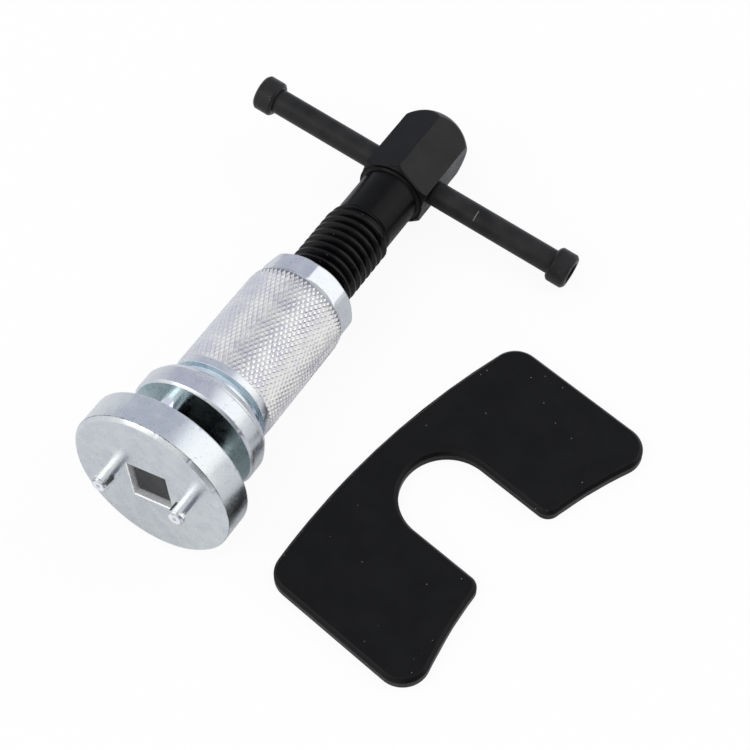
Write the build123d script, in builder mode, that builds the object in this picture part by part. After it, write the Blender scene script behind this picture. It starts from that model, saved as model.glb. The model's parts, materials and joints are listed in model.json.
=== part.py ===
from build123d import *
import os
from math import asin, atan, atan2, cos, degrees, hypot, radians, sin, sqrt

os.makedirs("parts", exist_ok=True)

# A brake caliper piston tool, lying on a bench as it comes out of its case.
# A screw runs through a knurled sleeve. Its nose carries a drive disc, two drive pins and a
# square boss with a magnet that holds a round adaptor. A U-shaped reaction plate lies beside
# it and hooks into the sleeve's groove in use. All lengths are in millimetres and all angles in degrees.
# Stations along the tool count from the adaptor's front face towards the screw's head.

# Adaptor disc, with a square drive hole and two pins that enter the brake piston
adaptor_radius = 18.9
adaptor_thickness = 7.9
adaptor_front_bevel = 0.85
adaptor_back_bevel = 0.4
square_side = 9.6
adaptor_turn = 9.5
piston_pin_radius = 2.0
piston_pin_circle = 9.53
piston_pin_stand = 4.7
piston_pin_depth = 5.0
piston_pin_spigot_radius = 1.6
pin_tip_chamfer = 0.5
press_clearance = 0.02

# Drive disc on the spindle's nose, and its two drive pins
drive_disc_radius = 14.9
drive_disc_thickness = 4.3
drive_disc_bevel = 0.55
drive_pin_radius = 2.2
drive_pin_circle = 9.8
drive_pin_turn = 113.6
drive_pin_engaged = 4.0
drive_hole_clearance = 0.2
drive_hole_spare = 1.0
lock_pin_radius = 1.0
lock_pin_bore_radius = 0.5
lock_pin_slit = 0.35
lock_pin_length = 12.0
lock_pin_recess = 0.3

# Spindle: nose with a square boss, thread, shank and hexagon head with a domed end
nose_radius = 6.7
nose_stand = 7.7
nose_chamfer = 0.4
boss_clearance = 0.1
boss_recess = 1.35
boss_chamfer = 0.5
magnet_radius = 3.5
magnet_length = 6.0
magnet_clearance = 0.05
thread_radius = 7.9
thread_shown = 22.35
shank_radius = 7.1
shank_length = 12.3
shank_flare = 0.4
head_across_flats = 16.0
head_length = 24.85
head_face_radius = 8.2
head_turned_radius = 9.6
dome_radius = 9.97
dome_flat_radius = 2.5

# Tommy bar, which slides through the head, and the collars on its ends
bar_radius = 2.95
bar_hole_clearance = 0.1
bar_hole_setback = 6.7
bar_reach_left = 39.6
bar_reach_right = 44.2
bar_seat_radius = 2.4
bar_end_recess = 0.9
cap_radius = 4.2
cap_length = 4.8
cap_chamfer = 0.6

# Sleeve: flange, groove for the plate, plain band, knurled grip and octagon
seam = 0.12
flange_radius = 14.6
flange_rim = 0.5
flange_thickness = 1.9
flange_back_radius = 13.8
groove_clearance = 0.2
neck_radius = 10.33
band_radius = 11.85
band_length = 1.9
grip_radius = 12.0
sleeve_length = 41.4
octagon_sides = 8
octagon_length = 4.5
octagon_across_flats = 21.5
octagon_turned_radius = 11.4
octagon_turn = 13.0
grip_end_radius = 11.7
grip_end_slope = 1.6
grip_end_cone = 1.3
octagon_end_chamfer = 0.7
bore_clearance = 0.1
bore_chamfer = 0.7

# Reaction plate, in its own frame: x towards the slot's mouth, y along the plate
plate_thickness = 3.0
plate_length = 79.35
plate_slot_clearance = 0.25
plate_back = 19.47
plate_back_arc = 183.0
plate_front = 18.22
plate_front_arc = 98.0
plate_corner_radius = 5.9
slot_mouth_radius = 3.0
plate_top_chamfer = 0.8
plate_bottom_chamfer = 0.3
plate_right = 48.8
plate_ahead = 37.81
plate_turn = -11.95

# Stations along the tool
disc_front = adaptor_thickness + nose_stand
disc_back = disc_front + drive_disc_thickness
flange_front = disc_back + seam
flange_back = flange_front + flange_thickness
groove_back = flange_back + plate_thickness + groove_clearance
band_back = groove_back + band_length
sleeve_end = flange_front + sleeve_length
octagon_start = sleeve_end - octagon_length
cone_start = octagon_start - grip_end_cone
slope_start = cone_start - grip_end_slope
thread_end = sleeve_end + thread_shown
head_front = thread_end + shank_length
head_end = head_front + head_length
bar_station = head_front + bar_hole_setback
dome_centre = head_end - sqrt(dome_radius**2 - dome_flat_radius**2)
dome_start = dome_centre + sqrt(dome_radius**2 - head_turned_radius**2)

# The hexagon's corners end where they meet the dome
corner_radius = head_across_flats / 2 / cos(radians(30))
corner_end = dome_centre + sqrt(dome_radius**2 - corner_radius**2)

# The tool lies on three points: the adaptor's back rim, the end of the head's lowest corner
# and the right collar of the bar. The tilt of its axis and the roll of its bar follow from
# them, each from the other, so they are found by turns.
rim_station = adaptor_thickness - adaptor_back_bevel
contact_reach = bar_reach_right - cap_chamfer
rounds_to_settle = 12
roll = 0.0
for _ in range(rounds_to_settle):
    head_drop = corner_radius * cos(radians(roll))
    tilt = degrees(atan((adaptor_radius - head_drop) / (corner_end - rim_station)))
    nose_height = rim_station * sin(radians(tilt)) + adaptor_radius * cos(radians(tilt))
    bar_height = nose_height - bar_station * sin(radians(tilt))
    bar_fall = asin(bar_height / hypot(contact_reach, cap_radius)) - atan2(cap_radius, contact_reach)
    roll = degrees(asin(sin(bar_fall) / cos(radians(tilt))))

# The tool's own directions: towards the head, to the right, and up across the axis
nose = Vector(0, 0, nose_height)
headward = Vector(0, cos(radians(tilt)), -sin(radians(tilt)))
rightward = Vector(1, 0, 0)
upward = Vector(0, sin(radians(tilt)), cos(radians(tilt)))
tool_axis = Axis(nose, headward)
turning = Plane(nose, x_dir=rightward, z_dir=upward)


def across(station):
    """The plane across the tool at a station, seen from the front."""
    return Plane(nose + headward * station, x_dir=rightward, z_dir=-headward)


def spoke(station, angle):
    """The plane at a station whose normal points outwards at an angle."""
    outward = rightward * cos(radians(angle)) + upward * sin(radians(angle))
    return Plane(nose + headward * station, x_dir=headward, z_dir=outward)


def pin_plane(angle):
    """The plane through a piston pin's axis, with its x outwards and its y towards the head."""
    outward = rightward * cos(radians(angle)) + upward * sin(radians(angle))
    return Plane(nose + outward * piston_pin_circle, x_dir=outward, z_dir=outward.cross(headward))


# Adaptor disc: turned, with the square hole through it, blind holes for the drive pins and a
# countersunk hole for each piston pin
piston_pin_seat = piston_pin_radius - piston_pin_spigot_radius
with BuildPart() as adaptor_disc:
    with BuildSketch(turning):
        with BuildLine():
            Polyline(
                (0, 0),
                (adaptor_radius - adaptor_front_bevel, 0),
                (adaptor_radius, adaptor_front_bevel),
                (adaptor_radius, rim_station),
                (adaptor_radius - adaptor_back_bevel, adaptor_thickness),
                (0, adaptor_thickness),
                close=True,
            )
        make_face()
    revolve(axis=tool_axis)
    with BuildSketch(across(0)):
        Rectangle(square_side, square_side, rotation=adaptor_turn)
    extrude(amount=-adaptor_thickness, mode=Mode.SUBTRACT)
    with BuildSketch(across(adaptor_thickness)):
        with PolarLocations(drive_pin_circle, 2, start_angle=drive_pin_turn):
            Circle(drive_pin_radius + drive_hole_clearance)
    extrude(amount=drive_pin_engaged + drive_hole_spare, mode=Mode.SUBTRACT)
    for pin_angle in (adaptor_turn, adaptor_turn + 180):
        with BuildSketch(pin_plane(pin_angle)):
            with BuildLine():
                Polyline(
                    (0, 0),
                    (piston_pin_radius + press_clearance, 0),
                    (piston_pin_spigot_radius + press_clearance, piston_pin_seat),
                    (piston_pin_spigot_radius + press_clearance, piston_pin_depth),
                    (0, piston_pin_depth),
                    close=True,
                )
            make_face()
        revolve(axis=Axis(pin_plane(pin_angle).origin, headward), mode=Mode.SUBTRACT)


def piston_pin(angle):
    """A pin on the adaptor's face, with a thinner spigot that is pressed into the disc."""
    with BuildPart() as pin:
        with BuildSketch(pin_plane(angle)):
            with BuildLine():
                Polyline(
                    (0, -piston_pin_stand),
                    (piston_pin_radius - pin_tip_chamfer, -piston_pin_stand),
                    (piston_pin_radius, pin_tip_chamfer - piston_pin_stand),
                    (piston_pin_radius, 0),
                    (piston_pin_spigot_radius, piston_pin_seat),
                    (piston_pin_spigot_radius, piston_pin_depth),
                    (0, piston_pin_depth),
                    close=True,
                )
            make_face()
        revolve(axis=Axis(pin_plane(angle).origin, headward))
    return pin.part


piston_pin_a = piston_pin(adaptor_turn)
piston_pin_b = piston_pin(adaptor_turn + 180)

# Drive disc: turned, with a bore for the nose, two pin holes and a cross hole for its lock pin
with BuildPart() as drive_disc:
    with BuildSketch(turning):
        with BuildLine():
            Polyline(
                (nose_radius + press_clearance, disc_front),
                (drive_disc_radius - drive_disc_bevel, disc_front),
                (drive_disc_radius, disc_front + drive_disc_bevel),
                (drive_disc_radius, disc_back),
                (nose_radius + press_clearance, disc_back),
                close=True,
            )
        make_face()
    revolve(axis=tool_axis)
    with BuildSketch(across(disc_back)):
        with PolarLocations(drive_pin_circle, 2, start_angle=drive_pin_turn):
            Circle(drive_pin_radius + press_clearance)
    extrude(amount=drive_disc_thickness, mode=Mode.SUBTRACT)
    with BuildSketch(spoke((disc_front + disc_back) / 2, drive_pin_turn + 90)):
        Circle(lock_pin_radius + press_clearance)
    extrude(amount=drive_disc_radius, mode=Mode.SUBTRACT)


def drive_pin(angle):
    """A straight pin through the drive disc, which reaches across the gap into the adaptor."""
    with BuildPart() as pin:
        with BuildSketch(across(disc_back)):
            with PolarLocations(drive_pin_circle, 1, start_angle=angle):
                Circle(drive_pin_radius)
        extrude(amount=drive_disc_thickness + nose_stand + drive_pin_engaged)
        chamfer(pin.faces().sort_by(tool_axis)[0].edges(), pin_tip_chamfer)
    return pin.part


drive_pin_a = drive_pin(drive_pin_turn)
drive_pin_b = drive_pin(drive_pin_turn + 180)

# Lock pin: a spring pin driven in from the disc's rim, through the disc and into the nose
lock_pin_top = drive_disc_radius - lock_pin_recess
lock_plane = spoke((disc_front + disc_back) / 2, drive_pin_turn + 90)
with BuildPart() as disc_lock_pin:
    with BuildSketch(lock_plane.offset(lock_pin_top - lock_pin_length)):
        Circle(lock_pin_radius)
        Circle(lock_pin_bore_radius, mode=Mode.SUBTRACT)
        with Locations((lock_pin_radius, 0)):
            Rectangle(lock_pin_radius * 2, lock_pin_slit, mode=Mode.SUBTRACT)
    extrude(amount=lock_pin_length)

# Spindle: turned from end to end, then the six flats, the square boss that fills the adaptor's
# square hole, the magnet's pocket in its end and the cross holes
pocket_depth = magnet_length + magnet_clearance
boss_side = square_side - 2 * boss_clearance
bar_plane = spoke(bar_station, -roll)
with BuildPart() as spindle:
    with BuildSketch(turning):
        with BuildLine():
            Polyline(
                (0, adaptor_thickness),
                (nose_radius - nose_chamfer, adaptor_thickness),
                (nose_radius, adaptor_thickness + nose_chamfer),
                (nose_radius, disc_back),
                (thread_radius - nose_chamfer, disc_back),
                (thread_radius, disc_back + nose_chamfer),
                (thread_radius, thread_end - thread_radius + shank_radius),
                (shank_radius, thread_end),
                (shank_radius, head_front - shank_flare),
                (shank_radius + shank_flare, head_front),
                (head_face_radius, head_front),
                (head_turned_radius, head_front + head_turned_radius - head_face_radius),
                (head_turned_radius, dome_start),
            )
            RadiusArc((head_turned_radius, dome_start), (dome_flat_radius, head_end), -dome_radius)
            Polyline((dome_flat_radius, head_end), (0, head_end), (0, adaptor_thickness))
        make_face()
    revolve(axis=tool_axis)
    with BuildSketch(across(head_front)):
        Circle(head_across_flats)
        RegularPolygon(
            head_across_flats / 2, 6, major_radius=False, rotation=30 - roll, mode=Mode.SUBTRACT
        )
    extrude(amount=-head_length, mode=Mode.SUBTRACT)
    with BuildSketch(across(adaptor_thickness)):
        Rectangle(boss_side, boss_side, rotation=adaptor_turn)
    extrude(amount=adaptor_thickness - boss_recess)
    chamfer(spindle.faces().sort_by(tool_axis)[0].edges(), boss_chamfer)
    with BuildSketch(across(boss_recess)):
        Circle(magnet_radius + magnet_clearance)
    extrude(amount=-pocket_depth, mode=Mode.SUBTRACT)
    with BuildSketch(bar_plane):
        Circle(bar_radius + bar_hole_clearance)
    extrude(amount=head_across_flats, both=True, mode=Mode.SUBTRACT)
    with BuildSketch(lock_plane.offset(lock_pin_top - lock_pin_length)):
        Circle(lock_pin_radius + press_clearance)
    extrude(amount=lock_pin_length, mode=Mode.SUBTRACT)

# Magnet: a plain round magnet, flush with the end of the boss
with BuildPart() as magnet:
    with BuildSketch(across(boss_recess)):
        Circle(magnet_radius)
    extrude(amount=-magnet_length)

# Tommy bar: a plain rod with a thinner seat for a collar at each end
bar_turning = Plane(nose + headward * bar_station, x_dir=headward, z_dir=headward.cross(bar_plane.z_dir))
bar_axis = Axis(nose + headward * bar_station, bar_plane.z_dir)
with BuildPart() as tommy_bar:
    with BuildSketch(bar_turning):
        with BuildLine():
            Polyline(
                (0, bar_end_recess - bar_reach_left),
                (bar_seat_radius, bar_end_recess - bar_reach_left),
                (bar_seat_radius, cap_length - bar_reach_left),
                (bar_radius, cap_length - bar_reach_left),
                (bar_radius, bar_reach_right - cap_length),
                (bar_seat_radius, bar_reach_right - cap_length),
                (bar_seat_radius, bar_reach_right - bar_end_recess),
                (0, bar_reach_right - bar_end_recess),
                close=True,
            )
        make_face()
    revolve(axis=bar_axis)


def bar_cap(inner_end, outer_end):
    """A collar between two places along the bar, with both outer edges chamfered."""
    bevel = cap_chamfer if outer_end > inner_end else -cap_chamfer
    with BuildPart() as cap:
        with BuildSketch(bar_turning):
            with BuildLine():
                Polyline(
                    (bar_seat_radius + press_clearance, inner_end),
                    (cap_radius - cap_chamfer, inner_end),
                    (cap_radius, inner_end + bevel),
                    (cap_radius, outer_end - bevel),
                    (cap_radius - cap_chamfer, outer_end),
                    (bar_seat_radius + press_clearance, outer_end),
                    close=True,
                )
            make_face()
        revolve(axis=bar_axis)
    return cap.part


bar_cap_left = bar_cap(cap_length - bar_reach_left, -bar_reach_left)
bar_cap_right = bar_cap(bar_reach_right - cap_length, bar_reach_right)

# Sleeve: turned with its bore, then eight flats that run out in the cone at the grip's end
bore_radius = thread_radius + bore_clearance
flat_radius = octagon_across_flats / 2
with BuildPart() as sleeve:
    with BuildSketch(turning):
        with BuildLine():
            Polyline(
                (bore_radius, flange_front + bore_chamfer),
                (bore_radius + bore_chamfer, flange_front),
                (flange_radius, flange_front),
                (flange_radius, flange_front + flange_rim),
                (flange_back_radius, flange_back),
                (neck_radius, flange_back),
                (neck_radius, groove_back),
                (band_radius, groove_back),
                (band_radius, band_back),
                (grip_radius, band_back),
                (grip_radius, slope_start),
                (grip_end_radius, cone_start),
                (octagon_turned_radius, octagon_start),
                (octagon_turned_radius, sleeve_end - octagon_end_chamfer),
                (octagon_turned_radius - octagon_end_chamfer, sleeve_end),
                (bore_radius + bore_chamfer, sleeve_end),
                (bore_radius, sleeve_end - bore_chamfer),
                close=True,
            )
        make_face()
    revolve(axis=tool_axis)
    with BuildSketch(across(cone_start)):
        Circle(grip_radius * 2)
        RegularPolygon(
            flat_radius,
            octagon_sides,
            major_radius=False,
            rotation=octagon_turn + 180 / octagon_sides,
            mode=Mode.SUBTRACT,
        )
    extrude(amount=-(grip_end_cone + octagon_length), mode=Mode.SUBTRACT)
    with BuildSketch(turning):
        with BuildLine():
            Polyline(
                (bore_radius, cone_start),
                (grip_end_radius, cone_start),
                (flat_radius, octagon_start),
                (bore_radius, octagon_start),
                close=True,
            )
        make_face()
    revolve(axis=tool_axis)

# Reaction plate: a bowed plate with a U-shaped slot, laid flat on the bench
slot_radius = neck_radius + plate_slot_clearance
half_length = plate_length / 2
back_bow = plate_back_arc - sqrt(plate_back_arc**2 - half_length**2)
front_bow = plate_front_arc - sqrt(plate_front_arc**2 - half_length**2)
slot_direction = Vector(cos(radians(plate_turn)), sin(radians(plate_turn)), 0)
plate_plane = Plane((plate_right, plate_ahead, 0), x_dir=slot_direction)
with BuildPart() as reaction_plate:
    with BuildSketch(plate_plane) as outline:
        with BuildLine():
            back_left = (back_bow - plate_back, half_length)
            back_right = (back_bow - plate_back, -half_length)
            front_left = (plate_front + front_bow, half_length)
            front_right = (plate_front + front_bow, -half_length)
            ThreePointArc(back_left, (-plate_back, 0), back_right)
            Line(back_right, front_right)
            ThreePointArc(front_right, (plate_front, 0), front_left)
            Line(front_left, back_left)
        make_face()
        Circle(slot_radius, mode=Mode.SUBTRACT)
        with Locations((half_length, 0)):
            Rectangle(plate_length, slot_radius * 2, mode=Mode.SUBTRACT)
        mouth = outline.vertices().filter_by_position(Axis.Y, -half_length / 2, half_length / 2)
        fillet(mouth.sort_by(Axis.X)[-2:], slot_mouth_radius)
        ends = outline.vertices().group_by(Axis.Y)
        fillet(ends[0] + ends[-1], plate_corner_radius)
    extrude(amount=plate_thickness)
    chamfer(reaction_plate.faces().sort_by(Axis.Z)[-1].edges(), plate_top_chamfer)
    chamfer(reaction_plate.faces().sort_by(Axis.Z)[0].edges(), plate_bottom_chamfer)

pieces = {
    "sleeve": sleeve.part,
    "spindle": spindle.part,
    "magnet": magnet.part,
    "drive_disc": drive_disc.part,
    "drive_pin_a": drive_pin_a,
    "drive_pin_b": drive_pin_b,
    "disc_lock_pin": disc_lock_pin.part,
    "adaptor_disc": adaptor_disc.part,
    "piston_pin_a": piston_pin_a,
    "piston_pin_b": piston_pin_b,
    "tommy_bar": tommy_bar.part,
    "bar_cap_left": bar_cap_left,
    "bar_cap_right": bar_cap_right,
    "reaction_plate": reaction_plate.part,
}

# The origin is on the bench, under the middle of the whole outline
boxes = [piece.bounding_box() for piece in pieces.values()]
middle_x = (min(box.min.X for box in boxes) + max(box.max.X for box in boxes)) / 2
middle_y = (min(box.min.Y for box in boxes) + max(box.max.Y for box in boxes)) / 2
centred = Location((-middle_x, -middle_y, 0))
for name, piece in pieces.items():
    placed = piece.moved(centred)
    placed.label = name
    export_step(placed, f"parts/{name}.step")
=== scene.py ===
import json
from math import acos, atan2, cos, exp, log, pi, radians, sin, tan

import bmesh
import bpy
from mathutils import Matrix, Vector


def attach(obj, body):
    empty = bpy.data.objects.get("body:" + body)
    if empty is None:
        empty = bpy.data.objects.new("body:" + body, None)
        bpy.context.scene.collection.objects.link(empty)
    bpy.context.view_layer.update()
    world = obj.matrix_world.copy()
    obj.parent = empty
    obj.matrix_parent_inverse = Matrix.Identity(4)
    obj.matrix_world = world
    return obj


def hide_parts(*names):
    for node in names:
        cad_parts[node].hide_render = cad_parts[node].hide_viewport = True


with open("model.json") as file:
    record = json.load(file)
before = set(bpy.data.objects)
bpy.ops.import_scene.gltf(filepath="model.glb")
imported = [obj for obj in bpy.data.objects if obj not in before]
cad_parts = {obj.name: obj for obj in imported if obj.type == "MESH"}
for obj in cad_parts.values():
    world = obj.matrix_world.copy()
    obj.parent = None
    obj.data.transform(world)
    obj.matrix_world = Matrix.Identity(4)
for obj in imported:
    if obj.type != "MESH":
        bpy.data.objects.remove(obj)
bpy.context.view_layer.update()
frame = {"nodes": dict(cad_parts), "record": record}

# Sleeve: the steel body of the tool, which the hand holds. It is turned from bar with a flange and
# a groove for the reaction plate, bored and threaded for the screw, and milled to eight flats at
# its back end. Bright zinc plate covers it.
record = frame["record"]
pins_mount = next(mount for mount in record["mounts"] if mount["name"] == "piston_pins")
rightward = Vector((1, 0, 0))
forward = Vector(pins_mount["axis"]).normalized()
upward = forward.cross(rightward)
tool = Matrix((rightward, upward, forward)).transposed().to_4x4()
tool.translation = Vector(pins_mount["pos_m"])

flange_front = 20.02
flange_rim_end = 20.52
flange_back = 21.92
flange_radius = 14.6
flange_back_radius = 13.8
neck_radius = 10.33
groove_back = 25.12
band_radius = 11.85
knurl_start = 27.02
knurl_end = 55.62
knurl_root = 11.64
octagon_start = 56.92
octagon_across_flats = 21.5
octagon_turn = 13.0
octagon_turned_radius = 11.4
grip_end_radius = 11.7
sleeve_end = 61.42
sleeve_end_radius = 10.7
bore_radius = 8.0
bore_chamfer = 0.7
# Where the painted shade on the knurl's floor ends.
painted_shade_end = 53.7


def eased(corners):
    """Rounds the corners of an outline, which is a list of (station, radius, rounding) in mm."""
    line = []
    for place, (station, radius, rounding) in enumerate(corners):
        here = Vector((station, radius))
        if not rounding:
            line.append(tuple(here))
            continue
        back = Vector(corners[place - 1][:2]) - here
        on = Vector(corners[(place + 1) % len(corners)][:2]) - here
        reach = min(rounding * tan((pi - back.angle(on)) / 2), 0.45 * back.length, 0.45 * on.length)
        start = here + back.normalized() * reach
        end = here + on.normalized() * reach
        for part in (0, 0.25, 0.5, 0.75, 1):
            line.append(tuple(start * (1 - part) ** 2 + here * 2 * part * (1 - part) + end * part**2))
    return line


def divided(line, first, last, step):
    """Splits the runs of an outline between two stations into short ones."""
    finer = []
    for (station, radius), (next_station, next_radius) in zip(line, line[1:] + line[:1]):
        finer.append((station, radius))
        if min(station, next_station) < first - 0.01 or max(station, next_station) > last + 0.01:
            continue
        count = int(abs(next_station - station) / step)
        for cut in range(1, count):
            part = cut / count
            finer.append((station + (next_station - station) * part, radius + (next_radius - radius) * part))
    return finer


def turned(name, line, steps, shape=None, place=tool):
    """A solid of revolution. A closed outline has a bore, and an open one ends on the axis."""
    points, rings = [], []
    for station, radius in line:
        ring = []
        for step in range(steps if radius else 1):
            angle = 2 * pi * step / steps
            s, r = shape(station, radius, angle) if shape else (station, radius)
            ring.append(len(points))
            points.append((r * cos(angle) / 1000, r * sin(angle) / 1000, -s / 1000))
        rings.append(ring)
    pairs = list(zip(rings, rings[1:]))
    if len(rings[0]) > 1:
        pairs.append((rings[-1], rings[0]))
    faces = []
    for ring, after in pairs:
        for step in range(steps):
            corners = (
                ring[step % len(ring)],
                ring[(step + 1) % steps % len(ring)],
                after[(step + 1) % steps % len(after)],
                after[step % len(after)],
            )
            faces.append(tuple(dict.fromkeys(corners)))
    mesh = bpy.data.meshes.new(name)
    mesh.from_pydata(points, [], faces)
    mesh.transform(place)
    whole = bmesh.new()
    whole.from_mesh(mesh)
    bmesh.ops.recalc_face_normals(whole, faces=whole.faces)
    whole.to_mesh(mesh)
    whole.free()
    piece = bpy.data.objects.new(name, mesh)
    bpy.context.scene.collection.objects.link(piece)
    return piece


def applied(piece):
    """The piece's mesh with its modifiers applied. The modifiers themselves are removed."""
    depsgraph = bpy.context.evaluated_depsgraph_get()
    mesh = bpy.data.meshes.new_from_object(piece.evaluated_get(depsgraph))
    piece.modifiers.clear()
    return mesh


def settled(piece):
    """Applies the piece's modifiers and shades it smooth, with its flat faces kept flat."""
    smooth = piece.modifiers.new("face_weights", "WEIGHTED_NORMAL")
    smooth.keep_sharp = True
    piece.data.shade_smooth()
    piece.data.set_sharp_from_angle(angle=radians(35))
    whole = applied(piece)
    whole.name = piece.name
    piece.data = whole


def soft_min(one, other, rounding):
    """The smaller of two lengths, eased where they are about equal."""
    return min(one, other) - rounding * log(1 + exp(-abs(one - other) / rounding))


def off_flat(angle, turn, sides):
    """The angle from the middle of the nearest of the flats."""
    return (angle - radians(turn) + pi / sides) % (2 * pi / sides) - pi / sides


def octagon(station, radius, angle):
    if station < knurl_end or radius < sleeve_end_radius - 0.05:
        return station, radius
    flat = octagon_across_flats / 2 / cos(off_flat(angle, octagon_turn, 8))
    down = min((station - knurl_end) / (octagon_start - knurl_end), 1)
    run_out = grip_end_radius - down * (grip_end_radius - octagon_across_flats / 2)
    return station, soft_min(radius, max(flat, run_out), 0.03)


def zinc_plate(name, tint, face_lines, wear=0, smoothest=0.2):
    """Bright zinc on turned steel: grey-blue, with fine turning lines, faint stains and specks."""
    material = bpy.data.materials.new(name)
    material.use_nodes = True
    nodes, link = material.node_tree.nodes, material.node_tree.links.new
    shader = nodes["Principled BSDF"]
    shader.inputs["Metallic"].default_value = 1.0
    place = nodes.new("ShaderNodeTexCoord")
    along = nodes.new("ShaderNodeMapping")
    along.vector_type = "TEXTURE"
    along.inputs["Location"].default_value = tool.translation
    along.inputs["Rotation"].default_value = tool.to_euler()
    link(place.outputs["Object"], along.inputs["Vector"])

    stains = nodes.new("ShaderNodeTexNoise")
    stains.inputs["Scale"].default_value = 260
    stains.inputs["Detail"].default_value = 5
    stains.inputs["Roughness"].default_value = 0.62
    link(along.outputs["Vector"], stains.inputs["Vector"])
    stain_colour = nodes.new("ShaderNodeValToRGB")
    stain_colour.color_ramp.elements[0].position = 0.3
    stain_colour.color_ramp.elements[0].color = (tint[0] * 0.88, tint[1] * 0.88, tint[2] * 0.94, 1)
    stain_colour.color_ramp.elements[1].position = 0.68
    stain_colour.color_ramp.elements[1].color = (tint[0] * 1.07, tint[1] * 1.08, tint[2] * 1.05, 1)
    link(stains.outputs["Fac"], stain_colour.inputs["Fac"])

    specks = nodes.new("ShaderNodeTexNoise")
    specks.inputs["Scale"].default_value = 2300 - 1300 * wear
    specks.inputs["Detail"].default_value = 2
    link(along.outputs["Vector"], specks.inputs["Vector"])
    speck_mask = nodes.new("ShaderNodeValToRGB")
    speck_mask.color_ramp.elements[0].position = 0.64 - 0.2 * wear
    speck_mask.color_ramp.elements[0].color = (0, 0, 0, 1)
    speck_mask.color_ramp.elements[1].position = 0.74 - 0.16 * wear
    speck_mask.color_ramp.elements[1].color = (0.5 + wear / 2, 0.5 + wear / 2, 0.5 + wear / 2, 1)
    link(specks.outputs["Fac"], speck_mask.inputs["Fac"])
    speckled = nodes.new("ShaderNodeMix")
    speckled.data_type = "RGBA"
    link(speck_mask.outputs["Color"], speckled.inputs["Factor"])
    link(stain_colour.outputs["Color"], speckled.inputs["A"])
    speckled.inputs["B"].default_value = (0.12 - 0.04 * wear, 0.13 - 0.07 * wear, 0.15 - 0.1 * wear, 1)
    link(speckled.outputs["Result"], shader.inputs["Base Color"])

    parted = nodes.new("ShaderNodeSeparateXYZ")
    link(along.outputs["Vector"], parted.inputs["Vector"])
    level = nodes.new("ShaderNodeCombineXYZ")
    link(parted.outputs["X"], level.inputs["X"])
    link(parted.outputs["Y"], level.inputs["Y"])
    distance = nodes.new("ShaderNodeVectorMath")
    distance.operation = "LENGTH"
    link(level.outputs["Vector"], distance.inputs[0])
    ring = nodes.new("ShaderNodeCombineXYZ")
    link(distance.outputs["Value"], ring.inputs["X"])
    link(parted.outputs["Z"], ring.inputs["Y"])
    lines = nodes.new("ShaderNodeTexNoise")
    lines.inputs["Scale"].default_value = 3200
    lines.inputs["Detail"].default_value = 3
    link(ring.outputs["Vector"], lines.inputs["Vector"])

    gloss = nodes.new("ShaderNodeMapRange")
    gloss.inputs["From Min"].default_value = 0.3
    gloss.inputs["From Max"].default_value = 0.7
    gloss.inputs["To Min"].default_value = smoothest
    gloss.inputs["To Max"].default_value = smoothest * 1.8
    link(stains.outputs["Fac"], gloss.inputs["Value"])
    link(gloss.outputs["Result"], shader.inputs["Roughness"])

    grain = nodes.new("ShaderNodeMix")
    grain.data_type = "FLOAT"
    grain.inputs["Factor"].default_value = face_lines
    link(specks.outputs["Fac"], grain.inputs["A"])
    link(lines.outputs["Fac"], grain.inputs["B"])
    relief = nodes.new("ShaderNodeBump")
    relief.inputs["Strength"].default_value = 0.35
    relief.inputs["Distance"].default_value = 0.00003
    link(grain.outputs["Result"], relief.inputs["Height"])
    link(relief.outputs["Normal"], shader.inputs["Normal"])
    return material


sleeve_outline = eased([
    (flange_front, bore_radius + bore_chamfer, 0.1),
    (flange_front, flange_radius, 0.2),
    (flange_rim_end, flange_radius, 0.2),
    (flange_back, flange_back_radius, 0.25),
    (flange_back, neck_radius, 0.3),
    (groove_back, neck_radius, 0.3),
    (groove_back, band_radius, 0.2),
    (knurl_start, band_radius, 0.04),
    (knurl_start, knurl_root, 0),
    (knurl_end, knurl_root, 0),
    (octagon_start, octagon_turned_radius, 0.1),
    (sleeve_end - octagon_turned_radius + sleeve_end_radius, octagon_turned_radius, 0.2),
    (sleeve_end, sleeve_end_radius, 0.2),
    (sleeve_end, bore_radius + bore_chamfer, 0.15),
    (sleeve_end - bore_chamfer, bore_radius, 0.1),
    (flange_front + bore_chamfer, bore_radius, 0.1),
])
knurled_sleeve = turned(
    "sleeve_body", divided(sleeve_outline, knurl_end, sleeve_end, 0.12), steps=720, shape=octagon
)
settled(knurled_sleeve)
sleeve_zinc = zinc_plate("zinc_on_sleeve", (0.635, 0.655, 0.67), face_lines=0.6)
knurled_sleeve.data.materials.append(sleeve_zinc)
# The groove gets a paler, teal zinc of its own: a painted reflection of the light that bounces about inside
# it.
groove_reflection_zinc = zinc_plate("zinc_in_groove", (0.68, 0.76, 0.8), face_lines=0.6)
knurled_sleeve.data.materials.append(groove_reflection_zinc)
to_tool = tool.inverted()
# A much darker zinc on the knurl's floor: painted shade in the grooves between the diamonds.
knurl_floor_shade_zinc = zinc_plate("zinc_on_knurl_floor", (0.27, 0.27, 0.28), face_lines=0.2)
knurled_sleeve.data.materials.append(knurl_floor_shade_zinc)
for face in knurled_sleeve.data.polygons:
    middle = to_tool @ face.center * 1000
    if middle.xy.length < bore_radius + 1:
        continue
    # Faces in the groove take the painted teal reflection.
    if flange_back - 0.05 < -middle.z < groove_back + 0.05:
        face.material_index = 1
    # Faces on the knurl's floor take the painted shade.
    elif knurl_start < -middle.z < painted_shade_end:
        face.material_index = 2
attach(knurled_sleeve, "sleeve_body")
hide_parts("sleeve")

# Knurl: two sets of slanted grooves, rolled into the sleeve's grip by a pair of wheels. They leave
# diamonds with small flat tops, sixty-six round the grip, which get lower at the grip's end.
knurl_columns = 66
knurl_row_step = 1.07
knurl_rows = 27
knurl_crest = 12.0
knurl_slope_start = 54.02
knurl_slope = 0.19
knurl_seed = 11


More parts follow.
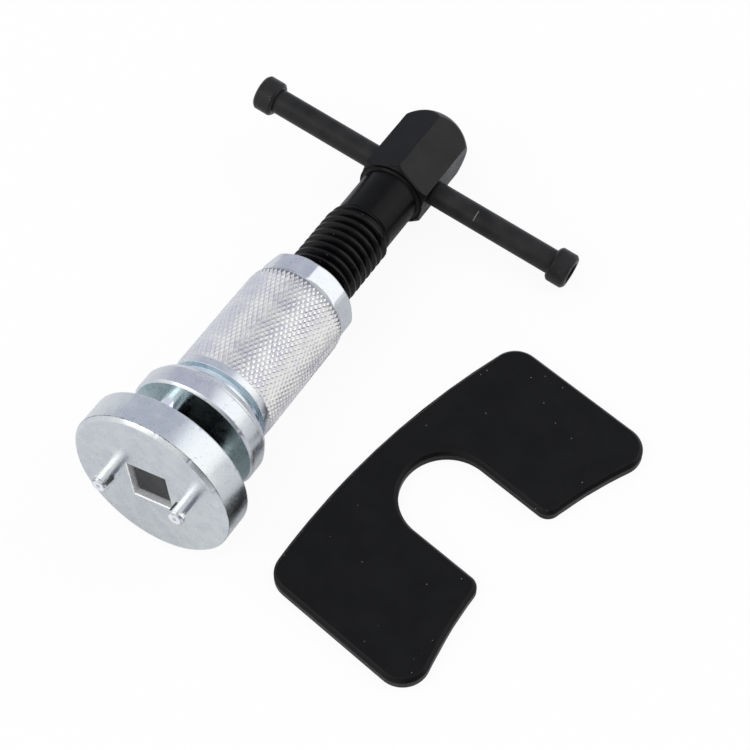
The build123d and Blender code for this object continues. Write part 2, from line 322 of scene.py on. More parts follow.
def arithmetic(tree):
    """A function that adds a step of arithmetic to a tree, on numbers and sockets."""

    def worked(operation, *values):
        step = tree.nodes.new("ShaderNodeMath")
        step.operation = operation
        for socket, value in zip(step.inputs, values):
            if isinstance(value, (int, float)):
                socket.default_value = value
            else:
                tree.links.new(value, socket)
        return step.outputs[0]

    return worked


def knurl_tree():
    """Diamonds on a cylinder along z, in staggered rows. Sizes are in metres."""
    tree = bpy.data.node_groups.new("knurl", "GeometryNodeTree")
    sockets = [
        ("Columns", "NodeSocketInt"),
        ("Rows", "NodeSocketInt"),
        ("Row Step", "NodeSocketFloat"),
        ("Start", "NodeSocketFloat"),
        ("Slope Start", "NodeSocketFloat"),
        ("Slope", "NodeSocketFloat"),
        ("Root Radius", "NodeSocketFloat"),
        ("Tooth Height", "NodeSocketFloat"),
        ("Seed", "NodeSocketInt"),
        ("Material", "NodeSocketMaterial"),
    ]
    for label, kind in sockets:
        tree.interface.new_socket(label, in_out="INPUT", socket_type=kind)
    tree.interface.new_socket("Geometry", in_out="OUTPUT", socket_type="NodeSocketGeometry")
    nodes, link = tree.nodes, tree.links.new
    given = nodes.new("NodeGroupInput").outputs
    worked = arithmetic(tree)

    number = nodes.new("GeometryNodeInputIndex").outputs[0]
    row = worked("FLOOR", worked("DIVIDE", worked("ADD", number, 0.5), given["Columns"]))
    column = worked("SUBTRACT", number, worked("MULTIPLY", row, given["Columns"]))
    shift = worked("MULTIPLY", worked("MODULO", row, 2), 0.5)
    angle = worked("MULTIPLY", worked("DIVIDE", worked("ADD", column, shift), given["Columns"]), 2 * pi)
    station = worked("MULTIPLY_ADD", row, given["Row Step"], given["Start"])
    past = worked("MAXIMUM", worked("SUBTRACT", station, given["Slope Start"]), 0)
    radius = worked("SUBTRACT", given["Root Radius"], worked("MULTIPLY", past, given["Slope"]))
    spot = nodes.new("ShaderNodeCombineXYZ")
    link(worked("MULTIPLY", radius, worked("COSINE", angle)), spot.inputs["X"])
    link(worked("MULTIPLY", radius, worked("SINE", angle)), spot.inputs["Y"])
    link(worked("MULTIPLY", station, -1), spot.inputs["Z"])
    points = nodes.new("GeometryNodePoints")
    link(worked("MULTIPLY", given["Columns"], given["Rows"]), points.inputs["Count"])
    link(spot.outputs["Vector"], points.inputs["Position"])

    tooth = nodes.new("GeometryNodeMeshCone")
    tooth.inputs["Vertices"].default_value = 4
    tooth.inputs["Radius Top"].default_value = 0.17
    tooth.inputs["Radius Bottom"].default_value = 0.5
    tooth.inputs["Depth"].default_value = 1.0
    width = worked("DIVIDE", worked("MULTIPLY", given["Root Radius"], 2 * pi * 1.01), given["Columns"])
    girth = nodes.new("ShaderNodeCombineXYZ")
    link(width, girth.inputs["X"])
    link(worked("MULTIPLY", given["Row Step"], 2.02), girth.inputs["Y"])
    link(given["Tooth Height"], girth.inputs["Z"])
    upright = nodes.new("GeometryNodeTransform")
    link(tooth.outputs["Mesh"], upright.inputs["Geometry"])
    link(girth.outputs["Vector"], upright.inputs["Scale"])
    upright.inputs["Rotation"].default_value = (pi / 2, 0, pi / 2)

    about = nodes.new("ShaderNodeCombineXYZ")
    link(angle, about.inputs["Z"])
    way = nodes.new("FunctionNodeEulerToRotation")
    link(about.outputs["Vector"], way.inputs["Euler"])
    uneven = nodes.new("FunctionNodeRandomValue")
    uneven.data_type = "FLOAT_VECTOR"
    uneven.inputs["Min"].default_value = (0.82, 1, 1)
    uneven.inputs["Max"].default_value = (1.0, 1, 1)
    link(given["Seed"], uneven.inputs["Seed"])
    set_out = nodes.new("GeometryNodeInstanceOnPoints")
    link(points.outputs["Points"], set_out.inputs["Points"])
    link(upright.outputs["Geometry"], set_out.inputs["Instance"])
    link(way.outputs["Rotation"], set_out.inputs["Rotation"])
    link(uneven.outputs["Value"], set_out.inputs["Scale"])
    real = nodes.new("GeometryNodeRealizeInstances")
    link(set_out.outputs["Instances"], real.inputs["Geometry"])
    plated = nodes.new("GeometryNodeSetMaterial")
    link(real.outputs["Geometry"], plated.inputs["Geometry"])
    link(given["Material"], plated.inputs["Material"])
    link(plated.outputs["Geometry"], nodes.new("NodeGroupOutput").inputs["Geometry"])
    return tree


def grown(name, tree, **sizes):
    """The mesh that a tree makes, put in its place on the tool as a plain object."""
    holder = bpy.data.objects.new(name, bpy.data.meshes.new(name))
    bpy.context.scene.collection.objects.link(holder)
    growth = holder.modifiers.new("growth", "NODES")
    growth.node_group = tree
    for item in tree.interface.items_tree:
        if item.in_out == "INPUT":
            growth[item.identifier] = sizes[item.name.lower().replace(" ", "_")]
    mesh = applied(holder)
    mesh.name = name
    mesh.transform(tool)
    holder.data = mesh
    return holder


# The diamonds get a brighter zinc than the sleeve: a painted highlight for the light their faces catch.
diamonds = grown(
    "knurl_diamonds",
    knurl_tree(),
    columns=knurl_columns,
    rows=knurl_rows,
    row_step=knurl_row_step / 1000,
    start=knurl_start / 1000,
    slope_start=knurl_slope_start / 1000,
    slope=knurl_slope,
    root_radius=(knurl_root + 0.02) / 1000,
    tooth_height=(knurl_crest - knurl_root - 0.04) / 1000,
    seed=knurl_seed,
    material=zinc_plate("zinc_on_knurl", (0.83, 0.82, 0.8), face_lines=0.2),
)
trimmed = bmesh.new()
trimmed.from_mesh(diamonds.data)
for end, way in ((knurl_start, 1), (knurl_end, -1)):
    bmesh.ops.bisect_plane(
        trimmed,
        geom=trimmed.verts[:] + trimmed.edges[:] + trimmed.faces[:],
        plane_co=tool @ Vector((0, 0, -end / 1000)),
        plane_no=forward * way,
        clear_outer=True,
    )
    bmesh.ops.holes_fill(trimmed, edges=[edge for edge in trimmed.edges if edge.is_boundary])
trimmed.to_mesh(diamonds.data)
trimmed.free()
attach(diamonds, "sleeve_body")
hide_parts("sleeve")

# Spindle: one forged and turned piece of steel, blackened. Its hexagon head has a domed end and a
# cross hole for the bar. Its nose ends in a square boss, which fills the adaptor's square hole and
# holds the magnet.
nose_front = 7.9
nose_radius = 6.7
boss_front = 1.35
boss_side = 9.4
boss_chamfer = 0.5
boss_turn = 9.5
boss_corner_reach = 0.69 * boss_side
pocket_radius = 3.55
pocket_depth = 6.05
disc_back = 19.9
thread_root = 6.75
thread_end = 83.77
shank_radius = 7.1
head_front = 96.07
head_face_radius = 8.2
head_turned_radius = 9.6
head_across_flats = 16.0
head_end = 120.92
dome_radius = 9.97
dome_flat_radius = 2.5
dome_centre = head_end - (dome_radius**2 - dome_flat_radius**2) ** 0.5
bar_station = head_front + 6.7
bar_hole_radius = 3.05
joints = {joint["name"]: joint for joint in record["behaviour"]["joints"]}
bar_way = Vector(joints["bar_slide"]["axis"]).normalized()
bar_turn = Matrix((forward, bar_way.cross(forward), bar_way)).transposed().to_4x4()
bar_place = bar_turn.copy()
bar_place.translation = tool @ Vector((0, 0, -bar_station / 1000))
roll = acos(max(-1, min(1, bar_way.dot(rightward)))) * (-1 if bar_way.dot(upward) < 0 else 1)


def spindle_shape(station, radius, angle):
    if station < nose_front + 0.01 and pocket_radius + 0.1 < radius < boss_side / 2 + 0.01:
        side = boss_side / 2 / cos(off_flat(angle, boss_turn, 4))
        return station, radius * soft_min(side, boss_corner_reach, 0.05) / (boss_side / 2)
    if station < head_front or radius == 0:
        return station, radius
    flat = head_across_flats / 2 / cos(off_flat(angle - roll, 0, 6))
    return station, soft_min(radius, flat, 0.05)


def drilled(piece, place, radius, start, end):
    """Cuts a round hole along the z of a place, between two heights in mm."""
    bit = bmesh.new()
    bmesh.ops.create_cone(
        bit, cap_ends=True, segments=64, radius1=radius / 1000, radius2=radius / 1000,
        depth=(end - start) / 1000, matrix=place @ Matrix.Translation((0, 0, (start + end) / 2000)),
    )
    mesh = bpy.data.meshes.new("bit")
    bit.to_mesh(mesh)
    bit.free()
    cutter = bpy.data.objects.new("bit", mesh)
    bpy.context.scene.collection.objects.link(cutter)
    cut = piece.modifiers.new("hole", "BOOLEAN")
    cut.operation = "DIFFERENCE"
    cut.solver = "EXACT"
    cut.object = cutter
    piece.data = applied(piece)
    bpy.data.objects.remove(cutter)


def blackened(name, colour, roughness, grain_size, dust, shine):
    """Satin black on steel: a faint grain, a little unevenness, and specks of dust."""
    material = bpy.data.materials.new(name)
    material.use_nodes = True
    nodes, link = material.node_tree.nodes, material.node_tree.links.new
    shader = nodes["Principled BSDF"]
    shader.inputs["Specular IOR Level"].default_value = shine
    place = nodes.new("ShaderNodeTexCoord").outputs["Object"]
    patches = nodes.new("ShaderNodeTexNoise")
    patches.inputs["Scale"].default_value = 190
    patches.inputs["Detail"].default_value = 4
    link(place, patches.inputs["Vector"])
    shades = nodes.new("ShaderNodeValToRGB")
    shades.color_ramp.elements[0].position = 0.35
    shades.color_ramp.elements[0].color = (colour * 0.7, colour * 0.7, colour * 0.72, 1)
    shades.color_ramp.elements[1].position = 0.7
    shades.color_ramp.elements[1].color = (colour * 1.3, colour * 1.3, colour * 1.28, 1)
    link(patches.outputs["Fac"], shades.inputs["Fac"])
    motes = nodes.new("ShaderNodeTexVoronoi")
    motes.inputs["Scale"].default_value = 420
    link(place, motes.inputs["Vector"])
    mote_mask = nodes.new("ShaderNodeMapRange")
    mote_mask.inputs["From Min"].default_value = 0.06
    mote_mask.inputs["From Max"].default_value = 0.03
    mote_mask.inputs["To Max"].default_value = dust
    link(motes.outputs["Distance"], mote_mask.inputs["Value"])
    dusty = nodes.new("ShaderNodeMix")
    dusty.data_type = "RGBA"
    link(mote_mask.outputs["Result"], dusty.inputs["Factor"])
    link(shades.outputs["Color"], dusty.inputs["A"])
    dusty.inputs["B"].default_value = (0.32, 0.32, 0.32, 1)
    link(dusty.outputs["Result"], shader.inputs["Base Color"])
    gloss = nodes.new("ShaderNodeMapRange")
    gloss.inputs["From Min"].default_value = 0.3
    gloss.inputs["From Max"].default_value = 0.7
    gloss.inputs["To Min"].default_value = roughness - 0.05
    gloss.inputs["To Max"].default_value = roughness + 0.07
    link(patches.outputs["Fac"], gloss.inputs["Value"])
    link(gloss.outputs["Result"], shader.inputs["Roughness"])
    grain = nodes.new("ShaderNodeTexNoise")
    grain.inputs["Scale"].default_value = 1000 / grain_size
    grain.inputs["Detail"].default_value = 3
    link(place, grain.inputs["Vector"])
    relief = nodes.new("ShaderNodeBump")
    relief.inputs["Strength"].default_value = 0.5
    relief.inputs["Distance"].default_value = 0.00003
    link(grain.outputs["Fac"], relief.inputs["Height"])
    link(relief.outputs["Normal"], shader.inputs["Normal"])
    return material


dome = []
dome_start_turn = acos(head_turned_radius / dome_radius)
dome_end_turn = acos(dome_flat_radius / dome_radius)
for step in range(37):
    turn = dome_start_turn + (dome_end_turn - dome_start_turn) * step / 36
    dome.append((dome_centre + dome_radius * sin(turn), dome_radius * cos(turn)))
spindle_outline = [(boss_front + pocket_depth, 0)] + eased([
    (boss_front + pocket_depth, 0.5, 0),
    (boss_front + pocket_depth, pocket_radius, 0.1),
    (boss_front, pocket_radius, 0.05),
    (boss_front, boss_side / 2 - boss_chamfer, 0.2),
    (boss_front + boss_chamfer, boss_side / 2, 0.2),
    (nose_front, boss_side / 2, 0),
    (nose_front, nose_radius, 0.4),
    (disc_back, nose_radius, 0.1),
    (disc_back, thread_root, 0.2),
    (thread_end - 1.1, thread_root, 0.3),
    (thread_end - 0.4, shank_radius, 0.3),
    (head_front - 0.4, shank_radius, 0.4),
    (head_front, head_face_radius - 0.6, 0.1),
    (head_front, head_face_radius, 0.1),
    (head_front + head_turned_radius - head_face_radius, head_turned_radius, 0),
])
spindle_outline = divided(spindle_outline, head_front, head_end, 0.08) + dome + [(head_end, 0)]
spindle = turned("screw_body", spindle_outline, steps=720, shape=spindle_shape)
drilled(spindle, bar_place, bar_hole_radius, start=-12, end=12)
settled(spindle)
screw_black = blackened(
    "black_on_screw", colour=0.0025, roughness=0.28, grain_size=0.5, dust=0.4, shine=0.12
)
spindle.data.materials.append(screw_black)
boss_grey = blackened(
    "grey_on_boss", colour=0.057, roughness=0.45, grain_size=0.3, dust=0.1, shine=0.1
)
spindle.data.materials.append(boss_grey)
# The head's flat that faces up gets a paler, shinier black: a painted highlight for the light that falls on
# that flat.
flat_highlight_black = blackened(
    "rubbed_black_on_flat", colour=0.014, roughness=0.32, grain_size=0.5, dust=0.4, shine=0.17
)
spindle.data.materials.append(flat_highlight_black)
for face in spindle.data.polygons:
    middle = to_tool @ face.center * 1000
    from_flat = atan2(middle.y, middle.x) - roll - pi / 3
    if -middle.z < boss_front + boss_chamfer:
        face.material_index = 1
    # The upward flat of the head takes the painted highlight.
    elif (
        -middle.z > head_front + 0.7
        and middle.xy.length * cos(from_flat) > head_across_flats / 2 - 0.06
    ):
        face.material_index = 2
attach(spindle, "screw")
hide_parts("spindle")

# Thread: a coarse right-hand thread with flat crests, rolled on the spindle. It starts behind the
# drive disc and runs out into the shank.
coupling = record["behaviour"]["couplings"][0]
thread_pitch = abs(coupling["ratio"]) * 2 * pi * 1000
thread_crest = 7.9
thread_start = 20.4
thread_run_out = 0.6


def thread_tree():
    """A ridge that winds round z, right-handed, and fades at both ends. Sizes are in metres."""
    tree = bpy.data.node_groups.new("thread", "GeometryNodeTree")
    sockets = [
        ("Turns", "NodeSocketFloat"),
        ("Length", "NodeSocketFloat"),
        ("Root Radius", "NodeSocketFloat"),
        ("Crest Radius", "NodeSocketFloat"),
        ("Pitch", "NodeSocketFloat"),
        ("Material", "NodeSocketMaterial"),
    ]
    for label, kind in sockets:
        tree.interface.new_socket(label, in_out="INPUT", socket_type=kind)
    tree.interface.new_socket("Geometry", in_out="OUTPUT", socket_type="NodeSocketGeometry")
    nodes, link = tree.nodes, tree.links.new
    given = nodes.new("NodeGroupInput").outputs
    worked = arithmetic(tree)

    helix = nodes.new("GeometryNodeCurveSpiral")
    helix.inputs["Resolution"].default_value = 72
    helix.inputs["Reverse"].default_value = True
    link(given["Turns"], helix.inputs["Rotations"])
    link(given["Root Radius"], helix.inputs["Start Radius"])
    link(given["Root Radius"], helix.inputs["End Radius"])
    link(given["Length"], helix.inputs["Height"])
    outward = nodes.new("GeometryNodeSetCurveNormal")
    outward.mode = "Z_UP"
    link(helix.outputs["Curve"], outward.inputs["Curve"])

    depth = worked("SUBTRACT", given["Crest Radius"], given["Root Radius"])
    ridge = nodes.new("GeometryNodeCurvePrimitiveQuadrilateral")
    ridge.mode = "POINTS"
    foot, foot_share, crest_share = -0.12, 0.46, 0.09
    for label, height, share in (
        ("Point 1", foot, foot_share),
        ("Point 2", 1, crest_share),
        ("Point 3", 1, -crest_share),
        ("Point 4", foot, -foot_share),
    ):
        corner = nodes.new("ShaderNodeCombineXYZ")
        link(worked("MULTIPLY", depth, height), corner.inputs["X"])
        link(worked("MULTIPLY", given["Pitch"], share), corner.inputs["Y"])
        link(corner.outputs["Vector"], ridge.inputs[label])

    way = nodes.new("GeometryNodeSplineParameter")
    fading_turns = 0.6
    turn_share = worked("DIVIDE", fading_turns, given["Turns"])
    in_share = worked("DIVIDE", way.outputs["Factor"], turn_share)
    out_share = worked("DIVIDE", worked("SUBTRACT", 1, way.outputs["Factor"]), turn_share)
    swell = worked("MAXIMUM", worked("MINIMUM", worked("MINIMUM", in_share, out_share), 1), 0.05)
    swept = nodes.new("GeometryNodeCurveToMesh")
    link(outward.outputs["Curve"], swept.inputs["Curve"])
    link(ridge.outputs["Curve"], swept.inputs["Profile Curve"])
    link(swell, swept.inputs["Scale"])
    swept.inputs["Fill Caps"].default_value = True
    real = nodes.new("GeometryNodeRealizeInstances")
    link(swept.outputs["Mesh"], real.inputs["Geometry"])
    black = nodes.new("GeometryNodeSetMaterial")
    link(real.outputs["Geometry"], black.inputs["Geometry"])
    link(given["Material"], black.inputs["Material"])
    link(black.outputs["Geometry"], nodes.new("NodeGroupOutput").inputs["Geometry"])
    return tree


thread_black = blackened(
    "black_on_thread", colour=0.003, roughness=0.24, grain_size=0.5, dust=0.4, shine=0.2
)
thread_length = thread_end - thread_run_out - thread_start
thread = grown(
    "screw_thread",
    thread_tree(),
    turns=thread_length / thread_pitch,
    length=thread_length / 1000,
    root_radius=thread_root / 1000,
    crest_radius=thread_crest / 1000,
    pitch=thread_pitch / 1000,
    material=thread_black,
)
thread.data.transform(Matrix.Translation(forward * -(thread_start + thread_length) / 1000))
outsides = bmesh.new()
outsides.from_mesh(thread.data)
bmesh.ops.recalc_face_normals(outsides, faces=outsides.faces)
outsides.to_mesh(thread.data)
outsides.free()
thread.data.shade_smooth()
thread.data.set_sharp_from_angle(angle=radians(30))
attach(thread, "screw")
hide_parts("spindle")

# Magnet: a plain round magnet in the end of the boss, as grey as the boss. It is glued into a blind
# pocket, flush with the boss, and holds the adaptor on the screw.
frame["nodes"]["magnet"].material_slots[0].material = boss_grey

# Drive disc: a zinc-plated steel disc on the spindle's nose. Two straight steel pins go through it
# and reach across the gap into the adaptor, so that the screw turns the adaptor.
disc_front = 15.6
disc_radius = 14.9
disc_bevel = 0.55
drive_pin_radius = 2.2
drive_pin_circle = 9.8
drive_pin_turn = 113.6
drive_pin_tip = 3.9


def round_nicks(nicks):
    """Dents in an edge, as a list of (station, angle, radius, depth) with angles in degrees."""

    def dented(station, radius, angle):
        sink = 0
        for at, turn, size, depth in nicks:
            off = ((angle - radians(turn) + pi) % (2 * pi) - pi) * radius
            away = (off**2 + (station - at) ** 2) / size**2
            if away < 9 and radius > 12:
                sink += depth * exp(-away)
        return station, radius - sink

    return dented


disc_outline = eased([
    (disc_front, nose_radius + 0.02, 0.05),
    (disc_front, disc_radius - disc_bevel, 0.1),
    (disc_front + disc_bevel, disc_radius, 0.15),
    (disc_back, disc_radius, 0.08),
    (disc_back, nose_radius + 0.02, 0.05),
])
disc_nicks = [
    (15.9, 38, 0.5, 0.14), (16.1, 47, 0.35, 0.1), (19.7, 60, 0.4, 0.08), (15.9, 102, 0.3, 0.08),
]
drive_disc = turned(
    "drive_disc_plated", divided(disc_outline, disc_front, disc_back, 0.3),
    steps=540, shape=round_nicks(disc_nicks),
)


def pin_place(circle, turn):
    """The axis of a pin, at the adaptor's face, with z forward."""
    return tool @ Matrix.Translation(
        (circle * cos(radians(turn)) / 1000, circle * sin(radians(turn)) / 1000, 0)
    )


for turn in (drive_pin_turn, drive_pin_turn + 180):
    drilled(
        drive_disc, pin_place(drive_pin_circle, turn), drive_pin_radius + 0.02,
        start=-disc_back - 1, end=-disc_front + 1,
    )
settled(drive_disc)
disc_zinc = zinc_plate("zinc_on_disc", (0.62, 0.64, 0.66), face_lines=0.75)
drive_disc.data.materials.append(disc_zinc)
# The disc's front face, in the gap, gets a darker, teal zinc: painted shade and a painted reflection of the
# adaptor in front of it.
disc_face_reflection_zinc = zinc_plate("zinc_on_disc_face", (0.5, 0.61, 0.62), face_lines=0.75)
drive_disc.data.materials.append(disc_face_reflection_zinc)
disc_edge_zinc = zinc_plate("zinc_on_disc_edge", (0.6, 0.61, 0.62), face_lines=0.3, wear=0.6)
drive_disc.data.materials.append(disc_edge_zinc)
for face in drive_disc.data.polygons:
    middle = to_tool @ face.center * 1000
    if -middle.z < disc_front + 0.02:
        face.material_index = 1
    elif -middle.z < disc_front + 0.25 and middle.xy.length > nose_radius + 1:
        face.material_index = 2
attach(drive_disc, "screw")
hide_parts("drive_disc")

pin_steel = zinc_plate("ground_pin_steel", (0.92, 0.93, 0.94), face_lines=0.5, smoothest=0.1)
drive_pin_outline = [(disc_back, 0)] + eased([
    (disc_back, 0.5, 0),
    (disc_back, drive_pin_radius, 0.15),
    (drive_pin_tip + 0.5, drive_pin_radius, 0.4),
    (drive_pin_tip, drive_pin_radius - 0.5, 0.3),
    (drive_pin_tip, 0.5, 0),
]) + [(drive_pin_tip, 0)]
for letter, turn in (("a", drive_pin_turn), ("b", drive_pin_turn + 180)):
    drive_pin = turned(
        "drive_pin_ground_" + letter, drive_pin_outline, steps=64, place=pin_place(drive_pin_circle, turn)
    )
    settled(drive_pin)
    drive_pin.data.materials.append(pin_steel)
    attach(drive_pin, "screw")
    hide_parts("drive_pin_" + letter)

# Lock pin: a slit pin rolled from spring steel. It is driven through the drive disc into the nose,
# on the side that lies down, and holds the disc there.
frame["nodes"]["disc_lock_pin"].material_slots[0].material = pin_steel

# Adaptor disc: turned from steel and zinc-plated, with a broached square hole. Its face is smooth
# and its edges are knocked about. The screw's magnet holds it, and it comes off by hand.
adaptor_radius = 18.9
adaptor_back = 7.9
adaptor_bevel = 0.85
square_side = 9.6
adaptor_turn = 9.5
square_corner_reach = 6.74
drive_pin_hole_depth = 5


def square_hole(station, radius, angle):
    if radius < 6:
        side = square_side / 2 / cos(off_flat(angle, adaptor_turn, 4))
        return station, radius * soft_min(side, square_corner_reach, 0.06) / (square_side / 2)
    return dent_adaptor(station, radius, angle)


adaptor_nicks = [
    (0.6, 152, 0.4, 0.12), (0.7, 146, 0.25, 0.1), (0.6, 128, 0.3, 0.08), (0.6, 84, 0.3, 0.08),
    (0.6, 58, 0.3, 0.12), (0.7, 44, 0.25, 0.1), (0.6, 33, 0.3, 0.08), (0.7, 12, 0.3, 0.06),
    (7.6, 110, 0.4, 0.1), (7.5, 66, 0.35, 0.1), (7.6, 30, 0.4, 0.12), (4.2, 96, 0.3, 0.04),
]
dent_adaptor = round_nicks(adaptor_nicks)
adaptor_outline = eased([
    (0.22, square_side / 2, 0.1),
    (0, square_side / 2 + 0.22, 0.1),
    (0, adaptor_radius - adaptor_bevel, 0.25),
    (adaptor_bevel, adaptor_radius, 0.3),
    (adaptor_back, adaptor_radius, 0.45),
    (adaptor_back, square_side / 2, 0.15),
])
adaptor = turned(
    "adaptor_plated", divided(adaptor_outline, 0, adaptor_back, 0.25), steps=720, shape=square_hole
)
for turn in (drive_pin_turn, drive_pin_turn + 180):
    drilled(
        adaptor, pin_place(drive_pin_circle, turn), drive_pin_radius + 0.2,
        start=-adaptor_back - 1, end=-adaptor_back + drive_pin_hole_depth,
    )
settled(adaptor)
adaptor_zinc = zinc_plate("zinc_on_adaptor", (0.62, 0.655, 0.655), face_lines=0.35)
adaptor.data.materials.append(adaptor_zinc)
# The square hole's walls get a near-white, part-diffuse zinc: a painted highlight for the light that falls
# into the hole.
hole_wall_highlight_zinc = zinc_plate("zinc_on_broached_wall", (0.94, 0.94, 0.93), face_lines=0.2)
hole_wall_highlight_zinc.node_tree.nodes["Principled BSDF"].inputs["Metallic"].default_value = 0.35
adaptor.data.materials.append(hole_wall_highlight_zinc)
adaptor_edge_zinc = zinc_plate("zinc_on_adaptor_edge", (0.42, 0.41, 0.42), face_lines=0.3, wear=0.75)
adaptor.data.materials.append(adaptor_edge_zinc)
for face in adaptor.data.polygons:
    middle = to_tool @ face.center * 1000
    if -adaptor_back + 0.2 < middle.z < -0.02 and middle.xy.length < square_corner_reach + 0.1:
        face.material_index = 1
    elif -adaptor_bevel - 0.04 < middle.z < -adaptor_bevel + 0.1 and middle.xy.length > 15:
        face.material_index = 2
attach(adaptor, "adaptor")
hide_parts("adaptor_disc")

# Piston pins: two short steel pins, pressed into the adaptor's face beside the square hole. They
# enter the recesses of a brake piston.
piston_pin_radius = 2.0
piston_pin_circle = 9.53
piston_pin_stand = 4.7
piston_pin_root = 0.35
centre_mark_area = 0.05e-6
pin_tip_steel = zinc_plate("scuffed_pin_steel", (0.6, 0.6, 0.62), face_lines=0.5, wear=0.5)
piston_pin_outline = [(piston_pin_root, 0)] + eased([
    (piston_pin_root, 0.5, 0),
    (piston_pin_root, piston_pin_radius - piston_pin_root, 0),
    (0, piston_pin_radius, 0.05),
    (0.5 - piston_pin_stand, piston_pin_radius, 0.25),
    (-piston_pin_stand, piston_pin_radius - 0.5, 0.2),
    (-piston_pin_stand, 0.5, 0),
]) + [(-piston_pin_stand, 0)]
for letter, turn in (("a", adaptor_turn), ("b", adaptor_turn + 180)):
    pin = turned(
        "piston_pin_ground_" + letter, piston_pin_outline, steps=64, place=pin_place(piston_pin_circle, turn)
    )
    settled(pin)
    pin.data.materials.append(pin_steel)
    pin.data.materials.append(pin_tip_steel)
    for face in pin.data.polygons:
        tip = (to_tool @ face.center).z * 1000 - piston_pin_stand
        if -0.6 < tip < -0.02 or tip > -0.02 and face.area < centre_mark_area:
            face.material_index = 1
    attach(pin, "adaptor")
    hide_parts("piston_pin_" + letter)

# Tommy bar: a plain blackened rod, free to slide through the head, with a collar pressed on each
# end. The rod's ends lie a little inside the collars.
bar_radius = 2.95
bar_seat_radius = 2.4
bar_left = 39.6
bar_right = 44.2
cap_length = 4.8
cap_radius = 4.2
cap_chamfer = 0.6
bar_end_recess = 0.9
scuff_start = 19.2
scuff_end = 19.4
scuff_way = Vector((0.28, -0.47, 0.84))
bar_outline = [(bar_left - bar_end_recess, 0)] + eased([
    (bar_left - bar_end_recess, 0.5, 0),
    (bar_left - bar_end_recess, bar_seat_radius, 0.3),
    (bar_left - cap_length, bar_seat_radius, 0),
    (bar_left - cap_length, bar_radius, 0.1),
    (-scuff_start, bar_radius, 0),
    (-scuff_end, bar_radius, 0),
    (cap_length - bar_right, bar_radius, 0.1),
    (cap_length - bar_right, bar_seat_radius, 0),
    (bar_end_recess - bar_right, bar_seat_radius, 0.3),
    (bar_end_recess - bar_right, 0.5, 0),
]) + [(bar_end_recess - bar_right, 0)]
bar = turned("bar_rod", bar_outline, steps=96, place=bar_place)
settled(bar)
bar_black = blackened(
    "black_on_bar", colour=0.022, roughness=0.33, grain_size=0.8, dust=0.4, shine=0.13
)
bar.data.materials.append(bar_black)
bar.data.materials.append(blackened(
    "scuff_on_bar", colour=0.2, roughness=0.5, grain_size=0.3, dust=0, shine=0.4
))
to_bar = bar_place.inverted()
for face in bar.data.polygons:
    along = (to_bar @ face.center).z * 1000
    if scuff_start < along < scuff_end and face.normal.dot(scuff_way) > 0.88:
        face.material_index = 1
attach(bar, "handle")
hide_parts("tommy_bar")
for side, inner, outer in (
    ("left", bar_left - cap_length, bar_left),
    ("right", cap_length - bar_right, -bar_right),
):
    lip = cap_chamfer if outer > inner else -cap_chamfer
    cap_outline = eased([
        (inner, bar_seat_radius + 0.02, 0),
        (inner, cap_radius - cap_chamfer, 0.2),
        (inner + lip, cap_radius, 0.6),
        (outer - lip, cap_radius, 0.6),
        (outer, cap_radius - cap_chamfer, 0.3),
        (outer, bar_seat_radius + 0.02, 0.2),
    ])
    cap = turned("bar_collar_" + side, cap_outline, steps=96, place=bar_place)
    settled(cap)
    cap.data.materials.append(bar_black)
    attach(cap, "handle")
    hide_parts("bar_cap_" + side)

# Reaction plate: stamped from 3 mm steel and coated black, with a U-shaped slot that hooks behind
# the sleeve's flange. The coating is a little thick over its rounded upper edge.
plate_edge_rounding = 0.00045
plate = bpy.data.objects.new("reaction_plate_coated", frame["nodes"]["reaction_plate"].data.copy())
bpy.context.scene.collection.objects.link(plate)
plate.data.materials.clear()
joined = bmesh.new()
joined.from_mesh(plate.data)
bmesh.ops.remove_doubles(joined, verts=joined.verts, dist=0.00001)
bmesh.ops.dissolve_limit(joined, angle_limit=radians(2), verts=joined.verts, edges=joined.edges)
bmesh.ops.recalc_face_normals(joined, faces=joined.faces)
joined.to_mesh(plate.data)
joined.free()
rounding = plate.modifiers.new("rounding", "BEVEL")
rounding.width = plate_edge_rounding
rounding.segments = 4
rounding.limit_method = "ANGLE"
rounding.angle_limit = radians(28)
settled(plate)
plate_black = blackened(
    "black_on_plate", colour=0.0035, roughness=0.33, grain_size=0.7, dust=0.8, shine=0.16
)
plate.data.materials.append(plate_black)
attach(plate, "plate")
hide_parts("reaction_plate")

# Bench: a plain white tabletop. The tool and its plate simply lie on it.
bench_mesh = bpy.data.meshes.new("bench")
bench_mesh.from_pydata([(-3, -3, 0), (3, -3, 0), (3, 3, 0), (-3, 3, 0)], [], [(0, 1, 2, 3)])
bench = bpy.data.objects.new("bench", bench_mesh)
bpy.context.scene.collection.objects.link(bench)
bench_paint = bpy.data.materials.new("bench_paint")
bench_paint.use_nodes = True
paint_nodes, paint_link = bench_paint.node_tree.nodes, bench_paint.node_tree.links.new
paint_nodes["Principled BSDF"].inputs["Base Color"].default_value = (0.97, 0.97, 0.97, 1)
paint_nodes["Principled BSDF"].inputs["Specular IOR Level"].default_value = 0
bench_glow = paint_nodes.new("ShaderNodeEmission")
bench_seen = paint_nodes.new("ShaderNodeMath")
bench_seen.operation = "MULTIPLY"
bench_seen.inputs[1].default_value = 0.92
paint_link(paint_nodes.new("ShaderNodeLightPath").outputs["Is Camera Ray"], bench_seen.inputs[0])
bench_mix = paint_nodes.new("ShaderNodeMixShader")
paint_link(bench_seen.outputs[0], bench_mix.inputs["Fac"])
paint_link(paint_nodes["Principled BSDF"].outputs["BSDF"], bench_mix.inputs[1])
paint_link(bench_glow.outputs["Emission"], bench_mix.inputs[2])
paint_link(bench_mix.outputs["Shader"], paint_nodes["Material Output"].inputs["Surface"])
bench_mesh.materials.append(bench_paint)

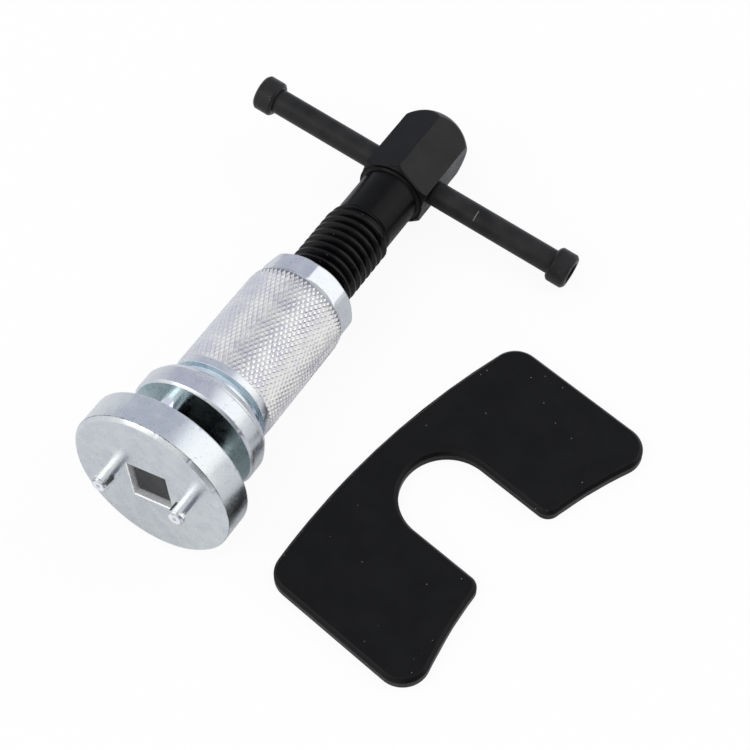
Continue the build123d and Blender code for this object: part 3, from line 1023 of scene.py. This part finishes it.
# Light: a white room with two soft darker parts, a bluish one high up behind the tool to its left
# and a dark one low in front to its right. One large soft panel stands behind the tool to its
# right, and one in front to its left.
world = bpy.data.worlds.new("room")
bpy.context.scene.world = world
world.use_nodes = True
room, room_link = world.node_tree.nodes, world.node_tree.links.new
looking = room.new("ShaderNodeTexCoord").outputs["Generated"]
wall_colour = None
for shade_way, near, far, shade_colour in (
    (Vector((-0.45, 0.56, 0.7)), 0.5, 0.84, (0.66, 0.68, 0.79, 1)),
    (Vector((0.86, -0.45, 0.22)), 0.68, 0.93, (0.22, 0.22, 0.28, 1)),
):
    nearness = room.new("ShaderNodeVectorMath")
    nearness.operation = "DOT_PRODUCT"
    nearness.inputs[1].default_value = shade_way.normalized()
    room_link(looking, nearness.inputs[0])
    shade = room.new("ShaderNodeMapRange")
    shade.interpolation_type = "SMOOTHSTEP"
    shade.inputs["From Min"].default_value = near
    shade.inputs["From Max"].default_value = far
    room_link(nearness.outputs["Value"], shade.inputs["Value"])
    walls = room.new("ShaderNodeMix")
    walls.data_type = "RGBA"
    walls.inputs["A"].default_value = (1, 1, 1, 1)
    walls.inputs["B"].default_value = shade_colour
    room_link(shade.outputs["Result"], walls.inputs["Factor"])
    if wall_colour:
        room_link(wall_colour, walls.inputs["A"])
    wall_colour = walls.outputs["Result"]
room_link(wall_colour, room["Background"].inputs["Color"])
room["Background"].inputs["Strength"].default_value = 1.0

for name, panel_from, panel_along, length, width, energy in (
    ("panel_behind", Vector((0.52, 0.5, 0.56)), Vector((0.67, -0.065, -0.63)), 0.88, 0.5, 0.85),
    ("panel_in_front", Vector((-0.48, -0.6, 0.68)), Vector((0.66, 0.05, 0.38)), 0.75, 0.45, 1.6),
):
    panel_data = bpy.data.lights.new(name, "AREA")
    panel_data.shape = "RECTANGLE"
    panel_data.size = length
    panel_data.size_y = width
    panel_data.energy = energy
    panel = bpy.data.objects.new(name, panel_data)
    bpy.context.scene.collection.objects.link(panel)
    panel_facing = panel_from.normalized()
    panel_along = (panel_along - panel_facing * panel_along.dot(panel_facing)).normalized()
    panel.matrix_world = Matrix.Translation(panel_from) @ Matrix(
        (panel_along, panel_facing.cross(panel_along), panel_facing)
    ).transposed().to_4x4()

# Camera: a long lens, high and in front of the tool's adaptor, a little to its right
camera_data = bpy.data.cameras.new("camera")
camera = bpy.data.objects.new("camera", camera_data)
bpy.context.scene.collection.objects.link(camera)
camera_data.sensor_width = 36
camera_data.lens = 102.67
camera_data.clip_end = 20
camera.location = (0.132242, -0.221295, 0.39522)
aim = Vector((-0.001056, -0.000097, 0)) - camera.location
camera.rotation_euler = aim.to_track_quat("-Z", "Y").to_euler()
bpy.context.scene.camera = camera

bpy.context.scene.view_settings.view_transform = "Standard"
